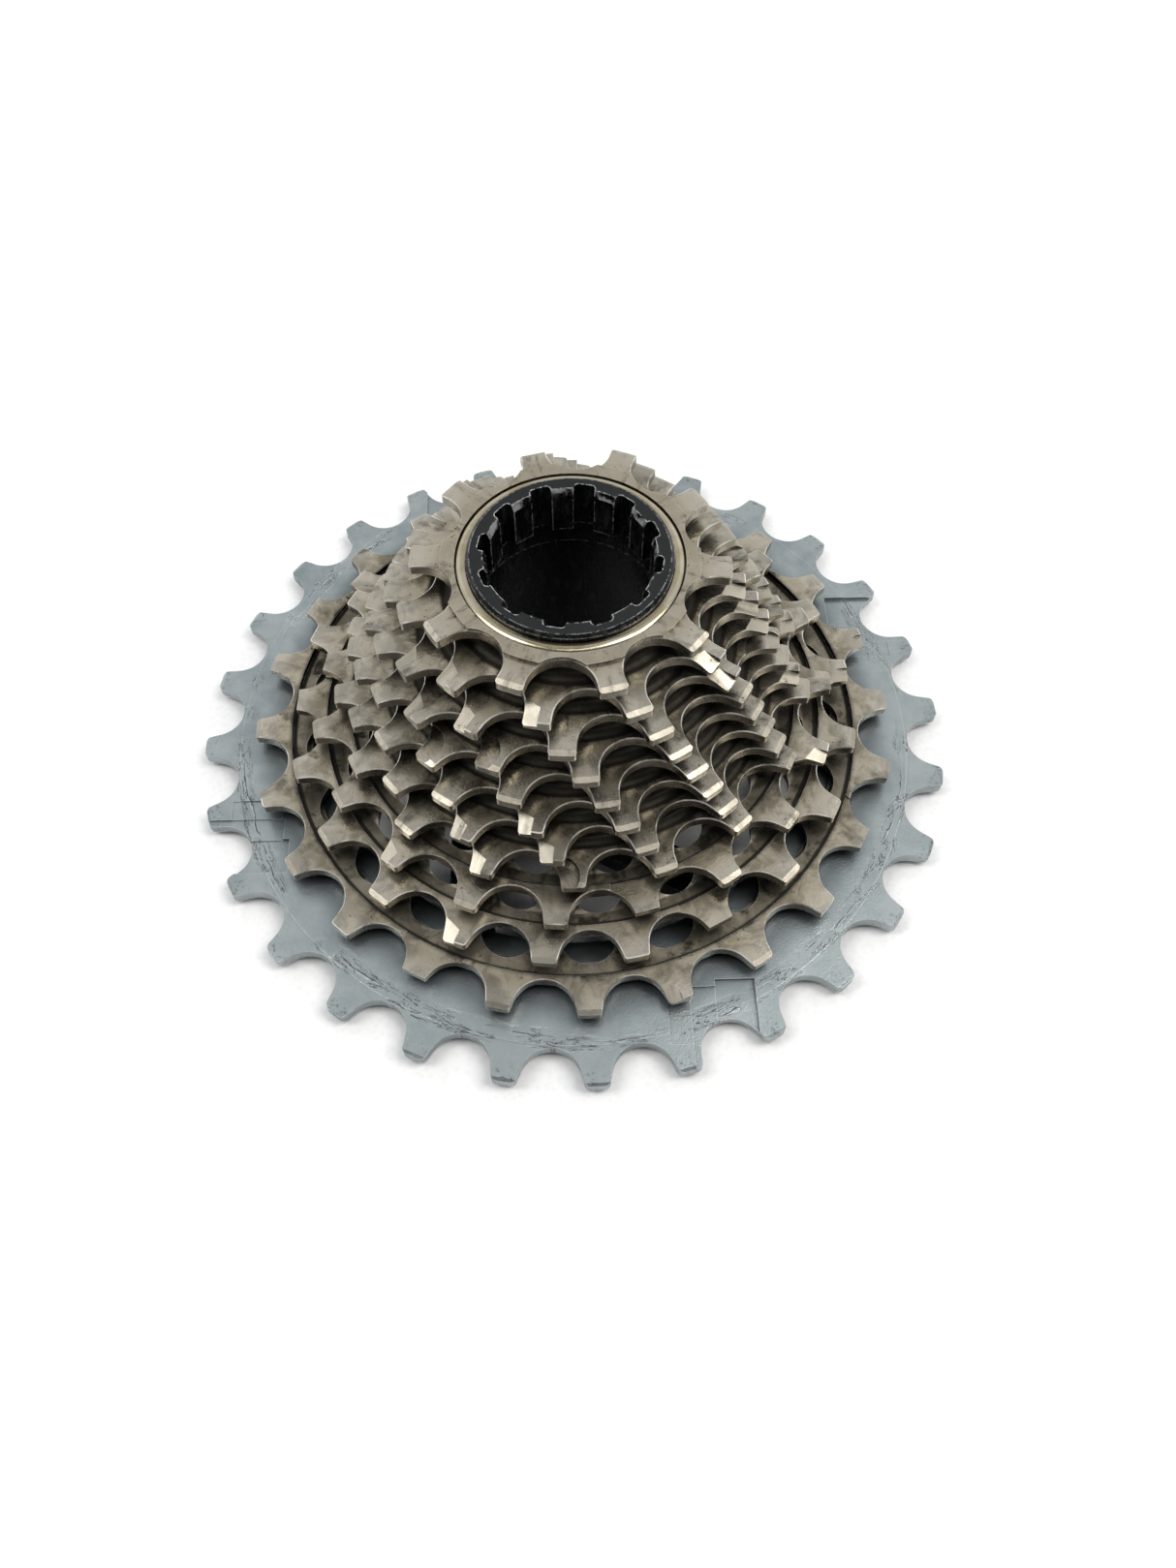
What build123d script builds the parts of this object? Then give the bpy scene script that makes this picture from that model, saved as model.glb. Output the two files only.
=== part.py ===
"""Twelve-speed bicycle cassette: a stepped cluster of steel sprockets on an aluminium
largest sprocket, with a captive lock tube that turns inside the small end.

Frame: millimetres, +Z along the wheel axis towards the smallest sprocket, origin at the
centre of the inboard face that the cassette rests on.
"""
from build123d import *
from math import atan2, cos, degrees, pi, radians, sin
import os

os.makedirs("parts", exist_ok=True)

# ---- driving dimensions -------------------------------------------------------------
CHAIN_PITCH = 12.7          # roller chain pitch
SPACING = 3.65              # front face to front face of neighbouring sprockets
PLATE = 1.6                 # thickness of a sprocket's toothed plate
BOSS_HEIGHT = 1.3           # inboard face of the hub to the back of the largest plate
LARGE_PLATE = 1.9           # thickness of the aluminium plate
FRONT_28 = BOSS_HEIGHT + LARGE_PLATE

# teeth, angle of one tooth about Z, tip above the pitch circle, root below it,
# roller seat radius, flank's lean from the middle of the tooth gap in degrees
SPROCKETS = (
    (28, 1.7, 1.20, 4.10, 4.35, 19),
    (24, 1.1, 0.55, 4.40, 4.45, 20),
    (21, 6.0, 0.65, 4.25, 4.40, 20),
    (19, 18.7, 0.65, 4.40, 4.60, 18),
    (17, 14.6, 0.75, 4.30, 4.60, 18),
    (16, 16.3, 0.75, 4.30, 4.60, 18),
    (15, 18.3, 0.80, 4.25, 4.60, 17),
    (14, 20.6, 0.95, 4.30, 4.60, 17),
    (13, 23.2, 1.05, 4.25, 4.60, 16),
    (12, 25.8, 1.20, 4.28, 4.60, 15),
    (11, 28.6, 1.10, 4.28, 4.60, 15),
    (10, 31.2, 1.00, 4.42, 4.60, 14),
)
COUNTS = [row[0] for row in SPROCKETS]
# webbed sprockets and the largest: angle of the first shift gate, number of gates
GATES = {28: (-62.0, 4), 24: (-134.0, 4), 21: (-80.5, 3), 19: (-96.0, 3)}
SMALL = (17, 16, 15, 14, 13, 12, 11)    # sprockets made of a plate and a plain step wall
WEBBED = (24, 21, 19)                   # sprockets with a dished web and windows

RIM_BELOW_ROOT = 0.7        # solid rim left inside the tooth roots of a webbed sprocket
WALL_BELOW_ROOT = 0.1       # a step wall's outer face, inside the smaller sprocket's roots
WALL_THICK = 2.4            # step wall of a small sprocket
GROOVE_ROUND = 1.1          # concave round at the foot of a small sprocket's step wall
WEB_WALL_THICK = 1.6        # step wall of a webbed sprocket
WEB_DROP = 1.0              # web floor below the plate's front face
WEB_THICK = 1.4
WEB_LAP = 0.6               # how far the web reaches under the rim
SWEEP_MARGIN = 0.4          # straight wall left above the sweep from web to wall
WINDOW_IN_RIM = 2.1         # outer edge of a window, inside the rim's inner edge
WINDOW_RADIUS = {24: 4.1, 21: 3.9, 19: 3.9}

TIP_ROUND = 0.45            # round on the two corners of a steel tooth's tip
TIP_ROUND_28 = 0.9
TIP_BEVEL_LENGTH = 0.7      # worn bevel on a tooth tip, along the tooth
TIP_BEVEL_DEPTH = 0.35
TOOTH_WIDTH = 6.0           # width that covers one tooth and no part of its neighbours
SHORT_TIP_WIDTH = 7.8
RAMP_FOOT = (-2.6, -2.8)    # top end of a chain ramp, from the pitch circle and tooth's middle
RAMP_TURN = (-1.3, 0.1)     # where the ramp's upper edge ends and its side step begins
RAMP_SLOPE = 22.0           # how steeply a ramp drops away, in degrees
SCOOP_RADIUS = 3.1          # round scoop milled into the front of some teeth
SCOOP_CENTRE = (-0.9, -2.2) # from the pitch circle and the tooth's middle
SCOOP_DEPTH = 0.45
# arc of the teeth that are ramped or scooped, first and last angle; the arcs repeat thrice
RAMP_ARCS = {12: (-159, -99), 11: (-163, -100), 13: (-150, -118), 15: (-116, -92),
             16: (-130, -92), 17: (-122, -98)}
SCOOP_ARCS = {13: (-118, -94), 14: (-148, -119), 17: (-98, -88)}
SHORT_TOOTH = 0.9           # how much lower a tooth is at a shift gate
LOW_NOSE_TOOTH = (2, 1.3)   # the smallest sprocket's low tooth: its index and how much lower
EDGE_BREAK = 0.14           # small chamfer round the front edge of every tooth
POCKET_DEPTH = 0.35         # recess in the front face around a shortened tooth
POCKET_WIDTH = 9.0
POCKET_OVERLAP = 2.0        # how far the recess runs past the tooth's root and tip
POCKET_SKEW = -14.0
OVERCUT = 1.0               # how far a cutter reaches past the surface it cuts

# lock tube and the bores that hold it
TUBE_RADIUS = 15.10
RUNNING_CLEARANCE = 0.05
NECK_RADIUS = 13.85
SLEEVE_RADIUS = 14.6        # plain lower end of the tube, inside the dome
SLEEVE_BASE = 11.0
TUBE_PROUD = 1.6            # tube's outer end above the smallest plate's front face
TOOL_LAND_RADIUS = 11.15    # twelve-spline lock-ring tool
TOOL_NOTCH_RADIUS = 12.35
TOOL_NOTCHES = 12
TOOL_NOTCH_ANGLE = 18.5
TOOL_NOTCH_WIDTH = 2.9
TOOL_NOTCH_ROUND = 0.6
TOOL_DEPTH = 7.7
TUBE_EDGE = 0.45            # chamfer on the tube's outer top edge
TOOL_LEAD = (0.4, 1.1)      # chamfer on the lands' top edge, across and down
THREAD_RADIUS = 13.2        # minor radius of the internal lock thread
THREAD_LENGTH = 4.8
DRIVER_NECK_RADIUS = 13.5   # pilot bore for the driver body's outer end
LEDGE_RADIUS = 14.75        # inner edge of the ledge that the lock tube's shoulder pulls on
GUIDES = (10, 11, 12, 13, 14)    # sprockets whose bores guide the lock tube
LEDGE = 16                  # sprocket that carries the ledge
NOSE_BORE_RADIUS = 15.4     # smallest sprocket's bore around the retaining ring
NOSE_BOSS_RADIUS = 17.4
NOSE_BOSS_HEIGHT = 0.5
RING_GROOVE_RADIUS = 15.75
RING_FLANGE = 0.6           # thickness of the retaining ring's foot in the groove
GROOVE_SHELF = 0.4          # steel left under the groove
RING_CLEARANCE = 0.1        # between the ring and the tube's neck
RING_CREST = 0.35           # flat crest beside the tube, level with the nose boss
RING_FALL = 0.35            # how far the bead curves down towards the nose bore
BEAD_GAP = 0.08             # between the bead and the nose bore
END_PLAY = 0.1

# aluminium plate, spider and driver splines
PLATE_28_INNER = 37.0
RIDGE_28_RADIUS = 52.3      # faint turned step inside the largest sprocket's teeth
RIDGE_28_DEPTH = 0.12
HUB_OUTER = 21.5
HUB_INNER = 17.3
HUB_LENGTH = 10.0
DRIVER_SPLINES = 9
DRIVER_SPLINE_RADIUS = 16.2
DRIVER_SPLINE_WIDTH = 5.0
SPIDER_ARMS = 6
ARM_WIDTH = 6.5
ARM_THICK = 3.2
ARM_HUB_ANGLE = -82.0       # where an arm leaves the hub and where it meets the plate
ARM_RIM_ANGLE = -54.0
SKIRT_OUTER = 42.9          # steel skirt that stands on the aluminium plate
SKIRT_INNER = 40.7
PIN_RADIUS = 0.8
PIN_COUNT = 12
PIN_CIRCLE = 41.8
PIN_SINK = 0.9              # depth of a pin's blind hole in the skirt
GATE_STEPS = (              # flat steps of the gate at -Y: x from, x to, y from, y to, depth
    (11.9, 15.1, -52.4, -44.6, 0.25),
    (15.1, 18.7, -60.0, -44.2, 0.45),
    (18.7, 24.3, -60.0, -43.2, 0.65),
)


def front_of(count):
    """Height of a sprocket's front face."""
    return FRONT_28 + SPACING * COUNTS.index(count)


def row_of(count):
    return SPROCKETS[COUNTS.index(count)]


def next_smaller(count):
    return COUNTS[COUNTS.index(count) + 1]


def pitch_radius(count):
    return CHAIN_PITCH / 2 / sin(pi / count)


def tip_radius(count):
    return pitch_radius(count) + row_of(count)[2]


def root_radius(count):
    return pitch_radius(count) - row_of(count)[3]


def seat_radius(count):
    return row_of(count)[4]


def tooth_angles(count):
    return [row_of(count)[1] + step * 360 / count for step in range(count)]


def turned(angles):
    """Locations that turn something drawn on the +X side to each angle about Z."""
    return Locations(*[Location((0, 0, 0), (0, 0, angle)) for angle in angles])


def tooth_outline(count):
    """Toothed disc: a round blank less one roller seat with leaning flanks per tooth."""
    seat_x = root_radius(count) + seat_radius(count)
    lean = radians(row_of(count)[5])
    seat = Vector(seat_x - seat_radius(count) * sin(lean), seat_radius(count) * cos(lean))
    reach = (tip_radius(count) + 2 * OVERCUT - seat.X) / cos(lean)
    mouth = seat + Vector(cos(lean), sin(lean)) * reach
    with BuildSketch(mode=Mode.PRIVATE) as gap:
        with BuildLine():
            ThreePointArc((seat.X, seat.Y), (root_radius(count), 0), (seat.X, -seat.Y))
            Line((seat.X, -seat.Y), (mouth.X, -mouth.Y))
            Line((mouth.X, -mouth.Y), (mouth.X, mouth.Y))
            Line((mouth.X, mouth.Y), (seat.X, seat.Y))
        make_face()
    half_pitch = 180 / count
    with BuildSketch(mode=Mode.PRIVATE) as outline:
        Circle(tip_radius(count))
        with turned([angle + half_pitch for angle in tooth_angles(count)]):
            add(gap.sketch, mode=Mode.SUBTRACT)
        on_tip = tip_radius(count) - TIP_ROUND / 2
        corners = outline.vertices().filter_by(lambda corner: Vector(corner).length > on_tip)
        fillet(corners, TIP_ROUND_28 if count == 28 else TIP_ROUND)
    return outline.sketch


def tip_bevel(count):
    """Wedge above the sloping tip of the tooth on +X."""
    start = tip_radius(count) - TIP_BEVEL_LENGTH
    end = tip_radius(count) + OVERCUT
    front = front_of(count)
    drop = TIP_BEVEL_DEPTH * (end - start) / TIP_BEVEL_LENGTH
    with BuildPart(mode=Mode.PRIVATE) as wedge:
        with BuildSketch(Plane.XZ):
            with BuildLine():
                Polyline((start, front), (end, front - drop), (end, front + OVERCUT),
                         (start, front + OVERCUT), close=True)
            make_face()
        extrude(amount=TOOTH_WIDTH / 2, both=True)
    return wedge.part


def tooth_ramp(count):
    """Block above the chain ramp of the tooth on +X. The ramp falls away from a line that
    crosses the tooth near its root, and a side step parts it from the rest of the tooth."""
    front = front_of(count)
    foot = Vector(pitch_radius(count) + RAMP_FOOT[0], RAMP_FOOT[1], front)
    turn = Vector(pitch_radius(count) + RAMP_TURN[0], RAMP_TURN[1], front)
    along = (turn - foot).normalized()
    outward = along.cross(Vector(0, 0, 1))
    upward = Vector(0, 0, cos(radians(RAMP_SLOPE))) + outward * sin(radians(RAMP_SLOPE))
    with BuildPart(mode=Mode.PRIVATE) as above_ramp:
        with BuildSketch(Plane(origin=turn, x_dir=along, z_dir=upward)):
            Rectangle(2 * TOOTH_WIDTH, 2 * TOOTH_WIDTH)
        extrude(amount=TOOTH_WIDTH / 2)
    with BuildPart(mode=Mode.PRIVATE) as clockwise_side:
        with BuildSketch(Plane.XY.offset(front - PLATE)):
            with Locations((turn.X, turn.Y - TOOTH_WIDTH / 2)):
                Rectangle(2 * TOOTH_WIDTH, TOOTH_WIDTH)
        extrude(amount=2 * PLATE)
    return above_ramp.part & clockwise_side.part


def tooth_scoop(count):
    """Disc over the shallow round scoop in the clockwise half of the tooth on +X."""
    centre = (pitch_radius(count) + SCOOP_CENTRE[0], SCOOP_CENTRE[1])
    with BuildPart(mode=Mode.PRIVATE) as scoop:
        with BuildSketch(Plane.XY.offset(front_of(count) - SCOOP_DEPTH)):
            with Locations(centre):
                Circle(SCOOP_RADIUS)
        extrude(amount=OVERCUT)
    return scoop.part


def short_tip(count, shorter=SHORT_TOOTH):
    """Block over the part that a shortened tooth on +X lacks."""
    start = tip_radius(count) - shorter
    with BuildPart(mode=Mode.PRIVATE) as tip_block:
        with BuildSketch(Plane.XY.offset(front_of(count) - PLATE - OVERCUT)):
            with Locations((start + shorter + OVERCUT, 0)):
                Rectangle(2 * (shorter + OVERCUT), SHORT_TIP_WIDTH)
        extrude(amount=PLATE + 2 * OVERCUT)
    return tip_block.part


def gate_recess(count):
    """Block over the shallow skewed recess around a shortened tooth on +X."""
    inner = root_radius(count) - RIM_BELOW_ROOT - POCKET_OVERLAP
    outer = tip_radius(count) + POCKET_OVERLAP
    with BuildPart(mode=Mode.PRIVATE) as recess:
        with BuildSketch(Plane.XY.offset(front_of(count) - POCKET_DEPTH)):
            with Locations(Location(((inner + outer) / 2, 0), POCKET_SKEW)):
                Rectangle(outer - inner, POCKET_WIDTH)
        extrude(amount=OVERCUT)
    return recess.part


def gate_teeth(count):
    """Indices of the plain teeth that stand first at each shift gate."""
    first_angle, gates = GATES[count]
    start = round((first_angle - row_of(count)[1]) * count / 360)
    return [round(start + gate * count / gates) % count for gate in range(gates)]


def in_arc(angle, arc):
    """True if the angle lies in the arc or in one of its two copies around the sprocket."""
    first, last = arc
    return (angle - first) % 120 < last - first


def tooth_kinds(count):
    """Angles of the bevelled, ramped, scooped and shortened teeth of a sprocket."""
    angles = tooth_angles(count)
    if count in WEBBED:
        plain = [angles[index] for index in gate_teeth(count)]
        short = [angles[(index + 1) % count] for index in gate_teeth(count)]
        ramped = [angles[(index - 2) % count] for index in gate_teeth(count)]
        bevelled = [angle for angle in angles if angle not in plain + short + ramped]
        return bevelled, ramped, [], short
    no_arc = (0, 0)
    ramped = [angle for angle in angles if in_arc(angle, RAMP_ARCS.get(count, no_arc))]
    scooped = [angle for angle in angles if in_arc(angle, SCOOP_ARCS.get(count, no_arc))]
    bevelled = [angle for angle in angles if angle not in ramped]
    return bevelled, ramped, scooped, []


def plate_with(count, inner_radius):
    """Toothed ring of one sprocket with what is cut into the front of its teeth."""
    bevelled, ramped, scooped, short = tooth_kinds(count)
    thick = LARGE_PLATE if count == 28 else PLATE
    with BuildPart(mode=Mode.PRIVATE) as plate:
        with BuildSketch(Plane.XY.offset(front_of(count) - thick)):
            add(tooth_outline(count))
            Circle(inner_radius, mode=Mode.SUBTRACT)
        extrude(amount=thick)
        chamfer(plate.faces().sort_by(Axis.Z)[-1].outer_wire().edges(), EDGE_BREAK)
        for angles, cutter in (
            (bevelled, tip_bevel), (ramped, tooth_ramp), (scooped, tooth_scoop),
            (short, short_tip), (short, gate_recess),
        ):
            if angles:
                with turned(angles):
                    add(cutter(count), mode=Mode.SUBTRACT)
    return plate.part


def finish(part, name):
    part.label = name
    export_step(part, f"parts/{name}.step")


def ring_wall(outer, inner, low, high, foot_round=0.0):
    """Upright ring, with a concave round at its foot if one is asked for."""
    with BuildPart(mode=Mode.PRIVATE) as wall:
        with BuildSketch(Plane.XY.offset(low)):
            Circle(outer)
            Circle(inner, mode=Mode.SUBTRACT)
        extrude(amount=high - low)
        if foot_round:
            with BuildSketch(Plane.XZ):
                with BuildLine():
                    Polyline((outer, low + foot_round), (outer - foot_round / 2, low),
                             (outer + foot_round, low))
                    RadiusArc((outer + foot_round, low), (outer, low + foot_round), foot_round)
                make_face()
            revolve(axis=Axis.Z)
    return wall.part


# ---- small sprockets, 11 to 17 teeth: a plate and the step wall under the next one ----
def small_sprocket(count):
    front = front_of(count)
    above = next_smaller(count)
    wall_outer = root_radius(above) - WALL_BELOW_ROOT
    wall_inner = wall_outer - WALL_THICK
    if count in GUIDES:
        wall_inner = TUBE_RADIUS + RUNNING_CLEARANCE
    plate_inner = LEDGE_RADIUS if count == LEDGE else wall_inner
    with BuildPart() as sprocket:
        add(plate_with(count, plate_inner))
        add(ring_wall(wall_outer, wall_inner, front, front + SPACING - PLATE, GROOVE_ROUND))
    finish(sprocket.part, f"sprocket_{count}t")


for small in SMALL:
    small_sprocket(small)


# ---- smallest sprocket: raised nose face and the groove for the retaining ring --------
def nose_sprocket():
    front = front_of(10)
    low_tooth, shorter = LOW_NOSE_TOOTH
    with BuildPart() as sprocket:
        add(plate_with(10, NOSE_BORE_RADIUS))
        with turned([tooth_angles(10)[low_tooth]]):
            add(short_tip(10, shorter), mode=Mode.SUBTRACT)
        with BuildSketch(Plane.XY.offset(front)):
            add(tooth_outline(10))
            Circle(NOSE_BOSS_RADIUS, mode=Mode.INTERSECT)
            Circle(NOSE_BORE_RADIUS, mode=Mode.SUBTRACT)
        extrude(amount=NOSE_BOSS_HEIGHT)
        with BuildSketch(Plane.XY.offset(front - PLATE)):
            Circle(RING_GROOVE_RADIUS)
            Circle(TUBE_RADIUS + RUNNING_CLEARANCE, mode=Mode.SUBTRACT)
        extrude(amount=GROOVE_SHELF)
        with BuildSketch(Plane.XY.offset(front - PLATE + GROOVE_SHELF)):
            Circle(RING_GROOVE_RADIUS)
        extrude(amount=RING_FLANGE, mode=Mode.SUBTRACT)
    finish(sprocket.part, "sprocket_10t")


nose_sprocket()


# ---- webbed sprockets, 19 to 24 teeth: rim, dished web with windows, step wall --------
def webbed_sprocket(count):
    front = front_of(count)
    above = next_smaller(count)
    rim_inner = root_radius(count) - RIM_BELOW_ROOT
    wall_outer = root_radius(above) - WALL_BELOW_ROOT
    wall_inner = wall_outer - WEB_WALL_THICK
    floor = front - WEB_DROP
    top = front + SPACING - PLATE
    if above in WEBBED:
        top = front_of(above) - WEB_DROP - WEB_THICK
    sweep = min(rim_inner - WINDOW_IN_RIM - wall_outer, top - floor - SWEEP_MARGIN)
    under = floor - WEB_THICK
    window = WINDOW_RADIUS[count]
    window_centre = rim_inner - WINDOW_IN_RIM - window
    spaces = [angle + 180 / above for angle in tooth_angles(above)]
    with BuildPart() as sprocket:
        add(plate_with(count, rim_inner))
        with BuildSketch(Plane.XZ):
            with BuildLine():
                Line((rim_inner, floor), (wall_outer + sweep, floor))
                RadiusArc((wall_outer + sweep, floor), (wall_outer, floor + sweep), sweep)
                Polyline((wall_outer, floor + sweep), (wall_outer, top), (wall_inner, top),
                         (wall_inner, under + WEB_WALL_THICK),
                         (wall_inner + WEB_WALL_THICK, under),
                         (rim_inner + WEB_LAP, under), (rim_inner + WEB_LAP, floor),
                         (rim_inner, floor))
            make_face()
        revolve(axis=Axis.Z)
        with BuildSketch(Plane.XY.offset(under - OVERCUT)):
            with turned(spaces):
                with Locations((window_centre, 0)):
                    Circle(window)
        extrude(amount=top - under + OVERCUT, mode=Mode.SUBTRACT)
        if count == 24:
            add(ring_wall(SKIRT_OUTER, SKIRT_INNER, FRONT_28, under))
            with BuildSketch(Plane.XY.offset(FRONT_28)):
                with PolarLocations(PIN_CIRCLE, PIN_COUNT):
                    Circle(PIN_RADIUS)
            extrude(amount=PIN_SINK, mode=Mode.SUBTRACT)
    finish(sprocket.part, f"sprocket_{count}t")


for webbed in WEBBED:
    webbed_sprocket(webbed)


# ---- largest sprocket: aluminium plate with four milled shift gates --------------------
def gate_pocket():
    """Blocks over the flat steps milled side by side into the front face at -Y."""
    with BuildPart(mode=Mode.PRIVATE) as pocket:
        for left, right, outer, inner, depth in GATE_STEPS:
            with BuildSketch(Plane.XY.offset(FRONT_28 - depth)):
                with Locations(((left + right) / 2, (outer + inner) / 2)):
                    Rectangle(right - left, inner - outer)
            extrude(amount=depth + OVERCUT)
    return pocket.part


def large_sprocket():
    with BuildPart() as sprocket:
        add(plate_with(28, PLATE_28_INNER))
        with BuildSketch(Plane.XY.offset(FRONT_28 - RIDGE_28_DEPTH)):
            Circle(tip_radius(28) + OVERCUT)
            Circle(RIDGE_28_RADIUS, mode=Mode.SUBTRACT)
        extrude(amount=OVERCUT, mode=Mode.SUBTRACT)
        with turned([gate * 90 for gate in range(GATES[28][1])]):
            add(gate_pocket(), mode=Mode.SUBTRACT)
        with BuildSketch(Plane.XY.offset(BOSS_HEIGHT)):
            with PolarLocations(PIN_CIRCLE, PIN_COUNT):
                Circle(PIN_RADIUS)
        extrude(amount=LARGE_PLATE, mode=Mode.SUBTRACT)
    finish(sprocket.part, "sprocket_28t")


large_sprocket()


# ---- spider: splined hub and swept arms that carry the largest sprocket ----------------
def spider():
    start = Vector((HUB_INNER + HUB_OUTER) / 2, 0).rotate(Axis.Z, ARM_HUB_ANGLE)
    end = Vector(PLATE_28_INNER + OVERCUT, 0).rotate(Axis.Z, ARM_RIM_ANGLE)
    along = end - start
    middle = (start + end) * 0.5
    with BuildPart() as carrier:
        with BuildSketch(Plane.XY.offset(BOSS_HEIGHT)):
            with turned([arm * 360 / SPIDER_ARMS for arm in range(SPIDER_ARMS)]):
                with Locations(Location((middle.X, middle.Y), degrees(atan2(along.Y, along.X)))):
                    Rectangle(along.length, ARM_WIDTH)
            Circle(PLATE_28_INNER, mode=Mode.INTERSECT)
        extrude(amount=ARM_THICK)
        with BuildSketch():
            Circle(HUB_OUTER)
        extrude(amount=HUB_LENGTH)
        with BuildSketch():
            Circle(HUB_INNER)
            with PolarLocations(HUB_INNER, DRIVER_SPLINES):
                Rectangle(2 * (HUB_INNER - DRIVER_SPLINE_RADIUS), DRIVER_SPLINE_WIDTH,
                          mode=Mode.SUBTRACT)
        extrude(amount=HUB_LENGTH, mode=Mode.SUBTRACT)
    finish(carrier.part, "driver_spider")


spider()


# ---- drive pins between the steel cluster and the aluminium plate ----------------------
def drive_pins():
    with BuildPart() as pins:
        with BuildSketch(Plane.XY.offset(BOSS_HEIGHT)):
            with PolarLocations(PIN_CIRCLE, PIN_COUNT):
                Circle(PIN_RADIUS)
        extrude(amount=LARGE_PLATE + PIN_SINK)
    finish(pins.part, "drive_pins")


drive_pins()


# ---- lock tube: tool splines outside, thread inside ------------------------------------
TUBE_TOP = front_of(10) + TUBE_PROUD
SHOULDER_BASE = front_of(LEDGE) + END_PLAY
SHOULDER_TOP = front_of(10) - PLATE + GROOVE_SHELF - END_PLAY


def lock_tube():
    spline_base = TUBE_TOP - TOOL_DEPTH
    thread_base = spline_base - THREAD_LENGTH
    lead_across, lead_down = TOOL_LEAD
    with BuildPart() as tube:
        with BuildSketch(Plane.XZ):
            with BuildLine():
                Polyline(
                    (DRIVER_NECK_RADIUS, SLEEVE_BASE), (SLEEVE_RADIUS, SLEEVE_BASE),
                    (SLEEVE_RADIUS, SHOULDER_BASE), (TUBE_RADIUS, SHOULDER_BASE),
                    (TUBE_RADIUS, SHOULDER_TOP), (NECK_RADIUS, SHOULDER_TOP),
                    (NECK_RADIUS, TUBE_TOP - TUBE_EDGE), (NECK_RADIUS - TUBE_EDGE, TUBE_TOP),
                    (TOOL_LAND_RADIUS + lead_across, TUBE_TOP),
                    (TOOL_LAND_RADIUS, TUBE_TOP - lead_down),
                    (TOOL_LAND_RADIUS, spline_base), (THREAD_RADIUS, spline_base),
                    (THREAD_RADIUS, thread_base), (DRIVER_NECK_RADIUS, thread_base),
                    close=True,
                )
            make_face()
        revolve(axis=Axis.Z)
        notch_length = 2 * (TOOL_NOTCH_RADIUS - TOOL_LAND_RADIUS) + OVERCUT
        with BuildSketch(Plane.XY.offset(spline_base - OVERCUT)):
            with PolarLocations(TOOL_NOTCH_RADIUS - notch_length / 2, TOOL_NOTCHES,
                                TOOL_NOTCH_ANGLE):
                RectangleRounded(notch_length, TOOL_NOTCH_WIDTH, TOOL_NOTCH_ROUND)
        extrude(amount=TOOL_DEPTH + 2 * OVERCUT, mode=Mode.SUBTRACT)
    finish(tube.part, "lock_tube")


lock_tube()


# ---- retaining ring: a beaded ring snapped into the nose groove ------------------------
def retaining_ring():
    seat = front_of(10) - PLATE + GROOVE_SHELF
    inner = NECK_RADIUS + RING_CLEARANCE
    bead = NOSE_BORE_RADIUS - BEAD_GAP
    crest = inner + RING_CREST
    top = front_of(10) + NOSE_BOSS_HEIGHT
    with BuildPart() as ring:
        with BuildSketch(Plane.XZ):
            with BuildLine():
                Polyline((crest, top), (inner, top), (inner, seat),
                         (RING_GROOVE_RADIUS, seat), (RING_GROOVE_RADIUS, seat + RING_FLANGE),
                         (bead, seat + RING_FLANGE), (bead, top - RING_FALL))
                RadiusArc((bead, top - RING_FALL), (crest, top), -(bead - crest) * 1.05)
            make_face()
        revolve(axis=Axis.Z)
    finish(ring.part, "retaining_ring")


retaining_ring()
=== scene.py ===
"""Looks of the twelve-speed cassette: worn nickel-coated steel sprockets, a blue-grey anodised
largest sprocket, a black lock tube, a golden ring, and a plain pale floor under soft light.

Metres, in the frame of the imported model: +Z along the wheel axis, the camera on the -Y side.
"""
import math
from functools import reduce

import bpy
from mathutils import Matrix, Vector


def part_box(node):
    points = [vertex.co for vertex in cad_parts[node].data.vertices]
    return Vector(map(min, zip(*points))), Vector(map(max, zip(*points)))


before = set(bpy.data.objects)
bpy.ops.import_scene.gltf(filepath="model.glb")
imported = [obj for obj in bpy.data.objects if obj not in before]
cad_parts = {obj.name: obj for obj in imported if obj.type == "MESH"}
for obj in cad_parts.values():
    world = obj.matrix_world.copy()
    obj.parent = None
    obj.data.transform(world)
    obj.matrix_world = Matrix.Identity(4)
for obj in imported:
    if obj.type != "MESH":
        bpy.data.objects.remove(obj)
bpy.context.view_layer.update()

MM = 0.001
STEEL_NODES = [node for node in sorted(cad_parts)
               if node.startswith("sprocket_") and node != "sprocket_28t"]

# ---- camera: where it stands and what its picture holds -----------------------------------
CAMERA_AIM = Vector((0, 0, 3.2 * MM))       # centre of the largest sprocket's front face
CAMERA_DISTANCE = 207.56 * MM
CAMERA_ELEVATION = 57.38                    # degrees
CAMERA_ROLL = -1.72                         # degrees
CAMERA_SLIDE = (-2.47 * MM, -1.82 * MM)     # to the picture's right and up
LENS = 30.07                                # millimetres of focal length
SENSOR_WIDTH = 36                           # millimetres, along the picture's longer side
SHIFT = (0.0202, -0.0295)                   # in lengths of the picture's longer side
NEAREST_SEEN = 10 * MM

# ---- light -----------------------------------------------------------------------------------
LIGHT_AIM = (0, 0, 0.02)
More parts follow.
